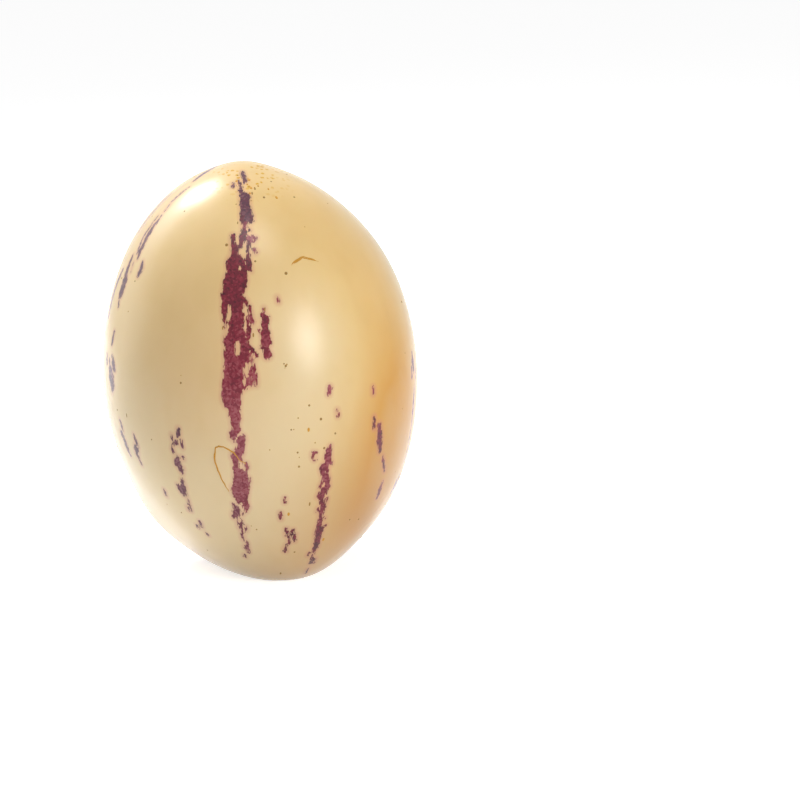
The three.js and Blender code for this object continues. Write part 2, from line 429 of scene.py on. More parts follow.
LEFT_EDGE: tuple[Stroke, ...] = (
    (
        (-65, 52, 0.25), (-65.5, 50, 0.45), (-66, 48, 0.7), (-66, 46, 0.8), (-65.8, 44, 0.7),
        (-65.5, 42, 0.7), (-65.2, 40, 0.75), (-64.8, 38, 0.5), (-64.3, 37, 0.3),
    ),
    (
        (-71, 37, 0.5), (-71, 35, 0.6), (-70.7, 33, 0.65), (-70.3, 31.5, 0.9), (-69.3, 30, 1.2),
        (-69.2, 28, 1.3), (-69.3, 26, 1.2), (-69.6, 25, 0.8),
    ),
    ((-59, 36.5, 0.3), (-58, 34.5, 0.8), (-58.5, 32.5, 0.5)),
    ((-92, 79.5, 0.5), (-78, 75, 0.7), (-70, 69.5, 0.4)),
    ((-69.4, 23.4, 0.35), (-68.7, 22.4, 0.35)),
    ((-68.3, 15.2, 0.45), (-68.5, 13.5, 0.45), (-69, 11.8, 0.4)),
    ((-74, 8.3, 0.5), (-74, 6.2, 0.5)),
    ((-70.5, 7.4, 0.4), (-69.5, 5.8, 0.4)),
    ((-67.7, 8.6, 0.4), (-66.5, 7.3, 0.8), (-65.5, 6, 0.8), (-64.5, 5.2, 0.4)),
    ((-69.5, 5, 1.0), (-68, 3, 1.7), (-67, 1, 1.2), (-67.5, -1, 0.4)),
    ((-63, -8, 0.3), (-62.3, -9.3, 0.45), (-61.8, -10.8, 0.35)),
    ((-64, -11.8, 0.6), (-62.8, -13, 0.8), (-62, -14.7, 0.8), (-61.7, -16.2, 0.75), (-61, -17.8, 0.5)),
    ((-53.6, -11, 0.25), (-53, -12.5, 0.4), (-52.6, -14, 0.55)),
    ((-53.8, -14.3, 0.6), (-54, -15.6, 0.95), (-55, -16.8, 0.5)),
    ((-54, -17, 0.35), (-53.8, -18.3, 0.35), (-53.4, -19.8, 0.25)),
    ((-43.5, -26.5, 0.3), (-44, -28.5, 0.3)),
)
LEFT_FAINT: tuple[Stroke, ...] = (
    (
        (-69, 51.5, 0.18), (-69.5, 48, 0.3), (-70, 45, 0.36), (-69.5, 43, 0.3), (-68, 40, 0.36),
        (-67.5, 38.5, 0.3),
    ),
    ((-67, 35.5, 0.21), (-66.5, 34.5, 0.21), (-66, 32.7, 0.12)),
    ((-64.5, 66, 0.18), (-65.5, 62, 0.36), (-66.5, 58, 0.3), (-65.5, 54, 0.3)),
    ((-84, 60, 0.36), (-84, 52, 0.48), (-84, 44, 0.36)),
    ((-77, 32, 0.48), (-78.5, 29, 0.72), (-80, 26, 0.72), (-80.5, 22, 0.72), (-80, 18, 0.6)),
    ((-80, -2, 0.48), (-79, -12, 0.6), (-78, -20, 0.54), (-77, -27, 0.36)),
)
RIGHT_EDGE: tuple[Stroke, ...] = (
    ((44, -5.5, 0.4), (44.5, -8.5, 0.4)),
    ((47, -8, 0.6), (48, -12, 0.9), (49, -15.5, 0.5)),
    ((51.5, -17.5, 0.3), (53, -20, 0.4), (55, -22.5, 0.3)),
    ((55.5, -26, 0.4), (55.5, -28.5, 0.6), (55.5, -31, 0.4)),
)
FLECKS: tuple[Stroke, ...] = (
    ((24.9, 4.2, 0.5), (24.6, 3.4, 0.35), (24.4, 2.6, 0.45)),
    ((27.5, -2, 0.35), (27.9, -3.5, 0.35)),
    ((43.5, 2.5, 0.4), (43.5, 1, 0.4)),
    ((8, 28.8, 0.3), (8.2, 27.6, 0.35)),
    ((2.5, 26, 0.2), (2.5, 25.5, 0.2)),
)
BARE: tuple[Stroke, ...] = (
    ((-7.7, 16.4, 0.38), (-7.7, 13.6, 0.3)),
    ((-6.6, 37.8, 0.15), (-6.6, 36.9, 0.15)),
    ((-4.7, 10.8, 0.3), (-4.7, 8.6, 0.35)),
    ((-10.8, 26.5, 0.15), (-10.6, 24.5, 0.35), (-11.2, 22.8, 0.2)),
)


@dataclass(frozen=True)
class StreakColour:
    """How a group of strokes takes its colour.

    Attributes:
        cover: The share of the skin that is coloured well inside a stroke.
        violet: How far the colour goes from magenta, 0, to grey violet, 1.
        deep: How dark it is at the widest ring, from rose, 0, to the darkest wine, 1.
        rise: How much darker it gets for each degree up.
    """

    cover: float
    violet: float
    deep: float
    rise: float = 0.0


@dataclass
class Streaks:
    """The purple streaks, as a distance and two shades painted on the skin's points.

    Attributes:
        reach: How far from a stroke the skin knows of it, in millimetres.
        spread: How far a stroke spreads past its drawn width, in millimetres.
        hidden_stripes: The longitude and the top latitude of each stripe round the back.
        foot: The latitude that those stripes end at.
        lengths: The shortest and the longest of their strokes, in degrees.
        half_widths: The slimmest and the widest, in millimetres.
        slimmest: The half width that a stroke's ends keep, in millimetres.
        step: About how far apart a stroke's places are, in degrees.
        gaps: The kinds of gap between strokes, in degrees.
        seed: What the broken strokes of those stripes are drawn from.
    """

    reach: float = 6.0
    spread: float = 0.1
    hidden_stripes: tuple[Place, ...] = (
        (76, 8), (99, 56), (121, 52), (149, 66), (176, 55), (-156, 62), (-128, 58), (-101, 50),
    )
    foot: float = -58
    lengths: Place = (3, 17)
    half_widths: Place = (0.4, 2.3)
    slimmest: float = 0.25
    step: float = 1.6
    gaps: tuple[float, ...] = (0.4, 1.5, 4.5)
    seed: int = 11
    strokes: list[tuple[Stroke, StreakColour]] = field(default_factory=list)

    def gather(self) -> None:
        """Put together the strokes of every stripe."""
        groups = (
            (FRONT_TIP, StreakColour(0.95, 0.65, 0.7)),
            (FRONT_UPPER, StreakColour(0.98, 0.0, 0.2, 0.022)),
            (FRONT_MOTTLE, StreakColour(0.82, 0.0, -0.1, 0.006)),
            (FRONT_LOWER, StreakColour(0.95, 0.12, 0.0)),
            (FRONT_TAIL, StreakColour(0.90, 0.4, 0.3)),
            (RIGHT_STRIPE, StreakColour(0.93, 0.1, -0.2, -0.025)),
            (LEFT_COLUMN, StreakColour(0.90, 0.55, 0.5)),
            (LEFT_EDGE, StreakColour(0.85, 0.75, 0.5)),
            (LEFT_FAINT, StreakColour(0.78, 0.9, 0.0)),
            (RIGHT_EDGE, StreakColour(0.9, 0.0, 0.9)),
            (FLECKS, StreakColour(0.85, 0.0, 0.0)),
        )
        for strokes, colour in groups:
            self.strokes += [(stroke, colour) for stroke in strokes]
        chance = np.random.default_rng(self.seed)
        for longitude, top in self.hidden_stripes:
            boldness = chance.uniform(0.45, 1.0)
            cover, violet = chance.uniform(0.78, 0.96), chance.uniform(0, 0.6)
            colour = StreakColour(cover, violet, chance.uniform(0.35, 0.85))
            self.strokes += [(s, colour) for s in self.broken_stripe(longitude, top, boldness, chance)]

    def broken_stripe(
        self, longitude: float, top: float, boldness: float, chance: np.random.Generator
    ) -> list[Stroke]:
        """Break one stripe into ragged strokes with gaps and slivers beside them.

        Args:
            longitude: Where the stripe runs.
            top: The latitude that it starts at.
            boldness: How wide its strokes are, against the widest.
            chance: The source of its random sizes.

        Returns:
            The stripe's strokes.
        """
        strokes: list[Stroke] = []
        latitude = top
        while latitude > self.foot:
            reach = chance.uniform(*self.lengths)
            widest = boldness * chance.uniform(*self.half_widths) * (1.0 if latitude < 45 else 0.6)
            steps = max(3, round(reach / self.step))
            drift = longitude + chance.uniform(-1.6, 1.6)
            stroke = []
            for i in range(steps):
                share = i / (steps - 1)
                taper = math.sqrt(math.sin(math.pi * (0.06 + 0.88 * share)))
                width = widest * taper * chance.uniform(0.5, 1.15)
                drift += chance.uniform(-0.6, 0.6)
                stroke.append((drift, latitude - reach * share, max(self.slimmest, width)))
            strokes.append(tuple(stroke))
            for _ in range(chance.integers(0, 3)):
                side = drift + chance.choice((-1, 1)) * chance.uniform(2.2, 4.5)
                start = latitude - chance.uniform(0, reach)
                thin = chance.uniform(0.2, 0.55)
                strokes.append(((side, start, thin), (side, start - chance.uniform(1, 3.5), thin)))
            latitude -= reach + chance.choice(self.gaps) * chance.uniform(0.6, 1.6)
        return strokes

    def on_ellipsoid(self, way: np.ndarray) -> np.ndarray:
        """Place directions on the plain ellipsoid under the skin, in millimetres."""
        return way * (EQUATOR_RADIUS, EQUATOR_RADIUS, HALF_LENGTH)

    def depth_in(
        self, points: np.ndarray, start: tuple[float, float, float], end: tuple[float, float, float]
    ) -> tuple[np.ndarray, np.ndarray]:
        """Measure how deep points lie in one length of a stroke.

        Args:
            points: Places on the plain ellipsoid, in millimetres.
            start: The longitude, latitude and half width at one end.
            end: The same at the other.

        Returns:
            The numbers of the points near it, and their depths in millimetres, below 0 outside.
        """
        a = self.on_ellipsoid(direction(*start[:2]))
        b = self.on_ellipsoid(direction(*end[:2]))
        run = b - a
        from_middle = ((points - (a + b) / 2) ** 2).sum(1)
        near = np.flatnonzero(from_middle < (np.linalg.norm(run) / 2 + self.reach) ** 2)
        offset = points[near] - a
        along = np.clip(offset @ run / (run @ run), 0, 1)
        gap = np.linalg.norm(offset - along[:, None] * run, axis=1)
        return near, start[2] + along * (end[2] - start[2]) - gap + self.spread

    def paint(self, mesh: Mesh, way: np.ndarray) -> None:
        """Store each point's place in the streaks.

        Args:
            mesh: The skin's mesh.
            way: The direction of each of its points.
        """
        self.gather()
        points = self.on_ellipsoid(way)
        latitude = np.degrees(np.arcsin(np.clip(way[:, 2], -1, 1)))
        depth = np.full(len(points), -self.reach)
        cover, violet, deep = np.zeros((3, len(points)))
        for stroke, colour in self.strokes:
            for start, end in zip(stroke, stroke[1:]):
                near, inside = self.depth_in(points, start, end)
                better = inside > depth[near]
                won = near[better]
                depth[won] = inside[better]
                cover[won] = colour.cover
                violet[won] = colour.violet
                deep[won] = colour.deep + colour.rise * latitude[won]
        for stroke in BARE:
            for start, end in zip(stroke, stroke[1:]):
                near, inside = self.depth_in(points, start, end)
                depth[near] = np.minimum(depth[near], -inside)
        for name, values in (("depth", depth), ("cover", cover), ("violet", violet), ("deep", deep)):
            store(mesh, "streak_" + name, values)


def store(mesh: Mesh, name: str, values: np.ndarray) -> None:
    """Keep a number, or three, for each point of a mesh.

    Args:
        mesh: The mesh.
        name: The attribute's name.
        values: One row for each point.
    """
    vector = values.ndim == 2
    attribute = mesh.attributes.new(name, "FLOAT_VECTOR" if vector else "FLOAT", "POINT")
    attribute.data.foreach_set("vector" if vector else "value", values.astype(np.float32).ravel())


@dataclass(frozen=True)
class WaxySkin:
    """Pepino skin: a thin, smooth, waxy peel, pale gold where it is ripe.

    It gives a soft satin gloss with small sharp highlights, and a little light passes
    into the flesh under it. The streaks lie in the peel, so they have the same gloss.
    """

    cream: str = "EAD5A8"
    gold: str = "E7C585"
    # Honey is reached mostly in the golden painted reflection low on the right.
    honey: str = "D99A22"
    greenish: str = "D2B478"
    tan_and_shade: str = "C99A66"
    wine: str = "4A0016"
    magenta: str = "7C1229"
    rose: str = "9C4850"
    flush: str = "C6706A"
    dusk: str = "40263A"
    mist: str = "8E6A6E"
    ochre: str = "D8A42A"
    flesh_roughness: float = 0.42
    wax_roughness: float = 0.14
    fleck_width: float = 0.36
    fleck_length: float = 0.8
    edge_softness: float = 0.9

    def make(self) -> Material:
        """Build the material.

        Returns:
            The new material.
        """
        material = bpy.data.materials.new("waxy_pepino_skin")
        tree = empty_tree(material)
        scabbed = self.tip_scabs(tree, self.ground(tree))
        colour = self.streaks(tree, scabbed)
        shader = add_node(
            tree, "ShaderNodeBsdfPrincipled",
            {
                "Base Color": colour, "Roughness": self.flesh_roughness, "IOR": 1.45,
                "Specular IOR Level": 0.22, "Coat Weight": self.sheen(tree),
                "Coat Roughness": self.wax_roughness, "Coat IOR": 1.45, "Subsurface Weight": 0.1,
                "Subsurface Radius": (0.004, 0.002, 0.0008), "Subsurface Scale": 1.0,
                "Normal": self.relief(tree),
            },
        )
        add_node(tree, "ShaderNodeOutputMaterial", {"Surface": shader})
        return material

    def sheen(self, tree: NodeTree) -> Node:
        """Make the wax glossier where it is seen along the peel.

        Args:
            tree: The material's tree.

        Returns:
            The weight of the gloss.
        """
        edge = add_node(tree, "ShaderNodeLayerWeight", {"Blend": 0.5})
        return add_node(
            tree, "ShaderNodeMapRange", {0: edge.outputs["Facing"], 1: 0.5, 2: 1.0, 3: 0.62, 4: 0.75}
        )

    def ground(self, tree: NodeTree) -> Node:
        """Colour the peel under the streaks: cream, ripening through gold to honey, with painted light and
        painted shade laid in.

        Args:
            tree: The material's tree.

        Returns:
            The colour.
        """
        # The ripeness attribute also holds painted light: a paler painted highlight and sheen, and a golden
        # painted reflection on the right.
        ripe = add_node(tree, "ShaderNodeAttribute", attribute_name="ripeness_and_light").outputs["Fac"]
        place = add_node(tree, "ShaderNodeTexCoord").outputs["Object"]
        # Blotches of paler and duller tissue lie under the peel, some 8 mm across.
        tall = add_node(tree, "ShaderNodeMapping", {"Vector": place, "Scale": (120.0, 120.0, 70.0)})
        veins = add_node(tree, "ShaderNodeTexNoise", {"Vector": tall, "Scale": 1.0, "Detail": 2.0})
        uneven = add_node(tree, "ShaderNodeMath", {0: veins, 1: 0.14, 2: ripe}, operation="MULTIPLY_ADD")
        ramp = add_node(tree, "ShaderNodeValToRGB", {0: uneven})
        spread_colours(ramp, (self.cream, self.gold, self.honey), (0.15, 0.6, 1.0))
        dull = add_node(tree, "ShaderNodeMapRange", {0: veins, 1: 0.5, 2: 0.8, 4: 0.2})
        veined = add_node(
            tree, "ShaderNodeMix", {0: dull, 6: ramp, 7: linear(self.greenish)}, data_type="RGBA"
        )
        # The tan attribute is mostly painted shade: a band left of the front, the lower right and the
        # underside.
        tan_and_shade = add_node(tree, "ShaderNodeAttribute", attribute_name="tan_and_shade").outputs["Fac"]
        return add_node(tree, "ShaderNodeMix", {0: tan_and_shade, 6: veined, 7: linear(self.tan_and_shade)}, data_type="RGBA")

    def tip_scabs(self, tree: NodeTree, skin: Feed) -> Node:
        """Scatter fine ochre scabs over the peel round the tip.

        Args:
            tree: The material's tree.
            skin: The peel's colour.

        Returns:
            The colour.
        """
        scab = add_node(tree, "ShaderNodeAttribute", attribute_name="scab").outputs["Fac"]
        place = add_node(tree, "ShaderNodeTexCoord").outputs["Object"]
        # A scab in about one of every three cells, which are 1.1 mm across.
        cells = add_node(tree, "ShaderNodeTexVoronoi", {"Vector": place, "Scale": 900.0})
        pick = add_node(tree, "ShaderNodeSeparateColor", {0: cells.outputs["Color"]})
        clumps = add_node(tree, "ShaderNodeTexNoise", {"Vector": place, "Scale": 420.0})
        crowded = add_node(tree, "ShaderNodeMath", {0: clumps, 1: 1.3, 2: pick}, operation="MULTIPLY_ADD")
        picked = add_node(tree, "ShaderNodeMapRange", {0: crowded, 1: 1.25, 2: 1.29})
        breaks = add_node(tree, "ShaderNodeTexNoise", {"Vector": place, "Scale": 2600.0, "Detail": 2.0})
        torn = add_node(tree, "ShaderNodeMath", {0: breaks, 1: 0.7, 2: cells}, operation="MULTIPLY_ADD")
        flake = add_node(tree, "ShaderNodeMapRange", {0: torn, 1: 0.8, 2: 0.66})
        some = add_node(tree, "ShaderNodeMath", {0: flake, 1: picked}, operation="MULTIPLY")
        here = add_node(tree, "ShaderNodeMath", {0: some, 1: scab}, operation="MULTIPLY")
        return add_node(tree, "ShaderNodeMix", {0: here, 6: skin, 7: linear(self.ochre)}, data_type="RGBA")

    def streaks(self, tree: NodeTree, skin: Feed) -> Node:
        """Lay the streaks over the peel, as flecks that crowd together inside each stroke.

        Args:
            tree: The material's tree.
            skin: The peel's colour.

        Returns:
            The colour.
        """
        depth = add_node(tree, "ShaderNodeAttribute", attribute_name="streak_depth").outputs["Fac"]
        cover = add_node(tree, "ShaderNodeAttribute", attribute_name="streak_cover").outputs["Fac"]
        grain = add_node(tree, "ShaderNodeAttribute", attribute_name="grain").outputs["Vector"]
        cell = (1 / self.fleck_width, 1 / self.fleck_width, 1 / self.fleck_length)
        flecks = add_node(tree, "ShaderNodeMapping", {"Vector": grain, "Scale": cell})
        pieces = add_node(tree, "ShaderNodeTexVoronoi", {"Vector": flecks, "Scale": 1.0})
        chance = add_node(tree, "ShaderNodeSeparateColor", {0: pieces.outputs["Color"]})
        cloud = add_node(tree, "ShaderNodeTexNoise", {"Vector": flecks, "Scale": 0.45, "Detail": 4.0})
        ragged = add_node(tree, "ShaderNodeMath", {0: chance, 1: 0.5, 2: -0.02}, operation="MULTIPLY_ADD")
        threshold = add_node(
            tree, "ShaderNodeMath", {0: cloud, 1: 0.5, 2: ragged}, operation="MULTIPLY_ADD"
        )
        inside = add_node(
            tree, "ShaderNodeMapRange", {0: depth, 1: -self.edge_softness / 2, 2: self.edge_softness / 2}
        )
        crowd = add_node(tree, "ShaderNodeMath", {0: inside, 1: cover}, operation="MULTIPLY")
        over = add_node(tree, "ShaderNodeMath", {0: crowd, 1: threshold}, operation="SUBTRACT")
        mask = add_node(tree, "ShaderNodeMapRange", {0: over, 1: -0.06, 2: 0.14})
        halo = add_node(tree, "ShaderNodeMapRange", {0: depth, 1: -0.9, 2: 0.1, 4: 0.36})
        flushed = add_node(
            tree, "ShaderNodeMix", {0: halo, 6: skin, 7: linear(self.flush)}, data_type="RGBA"
        )
        return add_node(
            tree, "ShaderNodeMix", {0: mask, 6: flushed, 7: self.pigment(tree)}, data_type="RGBA"
        )

    def pigment(self, tree: NodeTree) -> Node:
        """Colour the streaks from rose through magenta to wine, or to a greyer violet.

        Args:
            tree: The material's tree.

        Returns:
            The colour.
        """
        deep = add_node(tree, "ShaderNodeAttribute", attribute_name="streak_deep").outputs["Fac"]
        violet = add_node(tree, "ShaderNodeAttribute", attribute_name="streak_violet").outputs["Fac"]
        place = add_node(tree, "ShaderNodeTexCoord").outputs["Object"]
        # Pools of deeper colour are about 3 mm across, and the cells that show in them 0.5 mm.
        pools = add_node(tree, "ShaderNodeTexNoise", {"Vector": place, "Scale": 380.0, "Detail": 3.0})
        cells = add_node(tree, "ShaderNodeTexVoronoi", {"Vector": place, "Scale": 2200.0})
        cell = add_node(tree, "ShaderNodeSeparateColor", {0: cells.outputs["Color"]})
        pooled = add_node(tree, "ShaderNodeMath", {0: pools, 1: 1.6, 2: deep}, operation="MULTIPLY_ADD")
        speckled = add_node(tree, "ShaderNodeMath", {0: cell, 1: 1.1, 2: pooled}, operation="MULTIPLY_ADD")
        shade = add_node(tree, "ShaderNodeMapRange", {0: speckled, 1: 1.1, 2: 2.8})
        ramps = []
        for codes in ((self.rose, self.magenta, self.wine), (self.mist, self.dusk, self.dusk)):
            ramp = add_node(tree, "ShaderNodeValToRGB", {0: shade})
            spread_colours(ramp, codes, (0.0, 0.45, 1.0))
            ramps.append(ramp)
        return add_node(tree, "ShaderNodeMix", {0: violet, 6: ramps[0], 7: ramps[1]}, data_type="RGBA")

    def relief(self, tree: NodeTree) -> Node:
        """Give the peel the faint unevenness that ripples its highlights.

        Args:
            tree: The material's tree.

        Returns:
            The normal.
        """
        place = add_node(tree, "ShaderNodeTexCoord").outputs["Object"]
        pores = add_node(
            tree, "ShaderNodeTexNoise", {"Vector": place, "Scale": 320.0, "Detail": 3.0, "Roughness": 0.55}
        )
        return add_node(tree, "ShaderNodeBump", {"Strength": 0.1, "Distance": 0.0005, "Height": pores})


@dataclass(frozen=True)
class DryCork:
    """Cork: the dead, rough tissue that seals a scar on the peel, with no gloss.

    A piece's "paleness" turns it from dark brown to ochre, spot by spot.
    """

    name: str = "dry_cork"
    brown: str = "5C4322"
    pale: str = "A8803F"
    ochre: str = "D2962E"
    roughness: float = 0.8

    def make(self) -> Material:
        """Build the material.

        Returns:
            The new material.
        """
        material = bpy.data.materials.new(self.name)
        tree = empty_tree(material)
        place = add_node(tree, "ShaderNodeTexCoord").outputs["Object"]
        paleness = add_node(tree, "ShaderNodeAttribute", attribute_name="paleness").outputs["Fac"]
        # Crumbs of cork some 0.5 mm across.
        crumbs = add_node(
            tree, "ShaderNodeTexNoise", {"Vector": place, "Scale": 1800.0, "Detail": 3.0, "Roughness": 0.6}
        )
        mixed = add_node(
            tree, "ShaderNodeMix",
            {0: crumbs, 6: linear(self.brown), 7: linear(self.pale)},
            data_type="RGBA",
        )
        turned = add_node(
            tree, "ShaderNodeMix", {0: paleness, 6: mixed, 7: linear(self.ochre)}, data_type="RGBA"
        )
        bump = add_node(tree, "ShaderNodeBump", {"Strength": 0.5, "Distance": 0.0002, "Height": crumbs})
        shader = add_node(
            tree, "ShaderNodeBsdfPrincipled",
            {"Base Color": turned, "Roughness": self.roughness, "Normal": bump},
        )
        add_node(tree, "ShaderNodeOutputMaterial", {"Surface": shader})
        return material


@dataclass
class SkinMap:
    """Finds places on the finished skin from a longitude and a latitude.

    Attributes:
        body: The fruit's body.
        way: The direction of each of its points from the middle.
    """

    body: Object
    way: np.ndarray

    def __post_init__(self) -> None:
        """Index the skin's points by their directions."""
        self.tree = KDTree(len(self.way))
        for number, vector in enumerate(self.way):
            self.tree.insert(vector, number)
        self.tree.balance()
        mesh = self.body.data
        corners, faces = [v.co for v in mesh.vertices], [p.vertices for p in mesh.polygons]
        self.surface = BVHTree.FromPolygons(corners, faces)

    def find(self, longitude: float, latitude: float) -> tuple[Vector, Vector]:
        """Find a place on the skin and the direction that it faces.

        Args:
            longitude: Degrees round from the front, towards +X.
            latitude: Degrees above the widest ring.

        Returns:
            The place and the normal.
        """
        near = self.tree.find_n(direction(longitude, latitude), 4)
        weights = [1 / (gap + 1e-6) for _, _, gap in near]
        vertices = self.body.data.vertices
        points = [vertices[number].co * weight for (_, number, _), weight in zip(near, weights)]
        guess = sum(points, Vector()) / sum(weights)
        place, normal, _, _ = self.surface.find_nearest(guess)
        return place, normal


DOT, BLOB, DASH, OCHRE, FAINT = Speck
SPECKS: tuple[tuple[float, float, Speck], ...] = (
    (-46, 55.5, DOT), (-59.7, 30.6, DOT), (-59, 21.9, FAINT), (-64, -5.5, DOT), (-56.5, -6, DASH),
    (-43, -11, DOT), (-28.5, 7.5, FAINT), (-28.5, 5.5, DOT), (12.3, 69, OCHRE), (8.4, 67.5, DASH),
    (5, 65.2, DASH), (2.8, 65.3, OCHRE), (-10, 72.1, OCHRE), (5.5, 72.7, OCHRE), (2, 70, OCHRE),
    (3.4, 69, OCHRE), (4.7, 68, OCHRE), (30.5, 71, DOT), (2.7, 61.5, FAINT), (-8.5, 60, FAINT),
    (13.5, 63, BLOB), (21, 67, OCHRE), (23.5, 62.5, OCHRE), (23, 74.3, FAINT), (13.2, 35.6, BLOB),
    (-7.5, 52.5, DASH), (-13, 44.5, BLOB), (-9.7, 75.8, DOT), (0.5, 39.5, DOT), (10.5, -6, DOT),
    (11.5, -6, FAINT), (16.8, -6.4, OCHRE), (13, -12.5, DOT), (13.5, -14, FAINT), (13.5, -16.5, DOT),
    (18.6, -28.5, DASH), (28.2, -42.8, OCHRE), (21.3, -3.7, BLOB), (22.8, -11.9, BLOB), (40.5, -36.5, DOT),
    (47, -37.5, DOT), (6, -58.5, DASH), (13.5, -47, DOT), (10, -31.5, OCHRE), (3, -11.5, FAINT),
    (8.6, 11.1, DOT), (9.1, 10.7, DOT), (9.5, 11, FAINT), (8.9, 10.1, FAINT), (17, 0, DOT),
    (13, -3.2, FAINT), (-6.1, -35.7, FAINT), (-4.1, -37.1, DOT), (-39, -33.9, DOT), (-38.5, -50.5, DOT),
    (-46.5, -32, FAINT), (2.7, 25.7, DASH), (-14.3, 26.3, FAINT), (-13.1, 20.6, DASH), (-2, 18.8, DASH),
    (39, 62, DOT), (31, 50, FAINT), (19.3, -10.2, FAINT), (26.9, -8, DOT),
)


@dataclass
class CorkSpecks:
    """The corky specks: flattened drops of dead tissue, half sunk in the peel.

    Attributes:
        hidden: How many are scattered over the rest of the fruit.
        turns: The longitudes that those lie between.
        heights: The sines of the latitudes that they lie between.
        height: How high a speck stands against its width.
        seed: What the scattered ones are drawn from.
    """

    hidden: int = 90
    turns: Place = (62, 288)
    heights: Place = (-0.86, 0.96)
    height: float = 0.3
    seed: int = 5

    def rows(self) -> list[tuple[float, float, Speck]]:
        """List every speck's place and kind, the scattered ones after the placed ones.

        Returns:
            A longitude, a latitude and a kind for each.
        """
        chance = np.random.default_rng(self.seed)
        kinds = (DOT, FAINT, FAINT, DASH, BLOB)
        found = list(SPECKS)
        for _ in range(self.hidden):
            longitude = chance.uniform(*self.turns)
            latitude = math.degrees(math.asin(chance.uniform(*self.heights)))
            found.append((longitude, latitude, kinds[chance.integers(len(kinds))]))
        return found

    def build(self, skin: SkinMap, cork: Material) -> Object:
        """Make the specks as one piece.

        Args:
            skin: Finds places on the peel.
            cork: Their material.

        Returns:
            The piece.
        """
        places, facing, sizes, paleness = [], [], [], []
        chance = np.random.default_rng(self.seed + 1)
        for longitude, latitude, kind in self.rows():
            place, normal = skin.find(longitude, latitude)
            width, length, pale = kind.value
            factor = chance.uniform(0.8, 1.2) * MM / 2
            places.append(place)
            facing.append(normal)
            sizes.append((width * factor, length * factor, min(width, length) * self.height * factor))
            paleness.append(min(1.0, pale * chance.uniform(0.7, 1.2)))
        seeds = bpy.data.meshes.new("speck_places")
        seeds.from_pydata(places, [], [])
        for name, values in (("facing", facing), ("size", sizes), ("paleness", paleness)):
            store(seeds, name, np.array(values))
        piece = grow_piece("cork_specks", self.speck_tree(cork), {}, seeds)
        hand_over(piece)
        return piece

    def speck_tree(self, cork: Material) -> NodeTree:
        """Build the tree that sets a flattened drop at each place.

        Args:
            cork: The specks' material.

        Returns:
            The tree.
        """
        tree, given = new_shape_tree("speck_shape", {})
        drop = add_node(tree, "GeometryNodeMeshIcoSphere", {"Radius": 1.0, "Subdivisions": 3})
        facing, size = (
            add_node(tree, "GeometryNodeInputNamedAttribute", {"Name": name}, data_type="FLOAT_VECTOR")
            for name in ("facing", "size")
        )
        turn = add_node(tree, "FunctionNodeAlignRotationToVector", {"Vector": facing}, axis="Z")
        upright = add_node(
            tree, "FunctionNodeAlignRotationToVector",
            {"Rotation": turn, "Vector": (0, 0, 1)},
            axis="Y", pivot_axis="Z",
        )
        set_out = add_node(
            tree, "GeometryNodeInstanceOnPoints",
            {"Points": given, "Instance": drop, "Rotation": upright, "Scale": size},
        )
        smooth = add_node(tree, "GeometryNodeSetShadeSmooth", {"Geometry": set_out})
        close_shape_tree(tree, smooth, cork)
        return tree


@dataclass
class StalkFibres:
    """The torn ends of the stalk's strands, that hang from its corky scar into the dimple.

    Attributes:
        sizes: The tree's named inputs, in metres, and for the density in strands per square metre.
        centre: The middle of the scar, and the height of the strands' roots, in metres.
        seed: What the strands' places, leans and lengths are drawn from.
    """

    sizes: dict[str, float] = field(
        default_factory=lambda: {
            "Scar Radius": 2.0 * MM,
            "Strand Radius": 0.13 * MM,
            "Strand Length": 1.5 * MM,
            "Density": 3.2e6,
        }
    )
    centre: tuple[float, float, float] = (3.28 * MM, 0.1 * MM, 2.9 * MM)
    seed: int = 3

    def build(self, cork: Material) -> Object:
        """Make all the strands as one piece.

        Args:
            cork: Their material.

        Returns:
            The piece.
        """
        piece = grow_piece("stalk_fibres", self.strand_tree(cork), self.sizes)
        hand_over(piece)
        return piece

    def strand_tree(self, cork: Material) -> NodeTree:
        """Build the tree that hangs a tapered strand at each of the points strewn over the scar.

        Args:
            cork: The strands' material.

        Returns:
            The tree.
        """
        tree, given = new_shape_tree("strand_shape", self.sizes)
        disc = add_node(
            tree, "GeometryNodeMeshCircle",
            {"Vertices": 24, "Radius": given.outputs["Scar Radius"]},
            fill_type="TRIANGLE_FAN",
        )
        roots = add_node(
            tree, "GeometryNodeDistributePointsOnFaces",
            {"Mesh": disc, "Density": given.outputs["Density"], "Seed": self.seed},
        )
        tip = add_node(
            tree, "ShaderNodeMath", {0: given.outputs["Strand Radius"], 1: 0.35}, operation="MULTIPLY"
        )
        strand = add_node(
            tree, "GeometryNodeMeshCone",
            {
                "Vertices": 8, "Side Segments": 4, "Radius Top": tip,
                "Radius Bottom": given.outputs["Strand Radius"], "Depth": given.outputs["Strand Length"],
            },
        )
        lean = add_node(
            tree, "FunctionNodeRandomValue",
            {0: (math.pi - 0.4, -0.4, 0.0), 1: (math.pi + 0.4, 0.4, 6.3), "Seed": self.seed},
            data_type="FLOAT_VECTOR",
        )
        length = add_node(
            tree, "FunctionNodeRandomValue",
            {0: (0.7, 0.7, 0.35), 1: (1.4, 1.4, 1.0), "Seed": self.seed + 1},
            data_type="FLOAT_VECTOR",
        )
        hung = add_node(
            tree, "GeometryNodeInstanceOnPoints",
            {"Points": roots, "Instance": strand, "Rotation": lean, "Scale": length},
        )
        placed = add_node(tree, "GeometryNodeTransform", {"Geometry": hung, "Translation": self.centre})
        close_shape_tree(tree, placed, cork)
        return tree


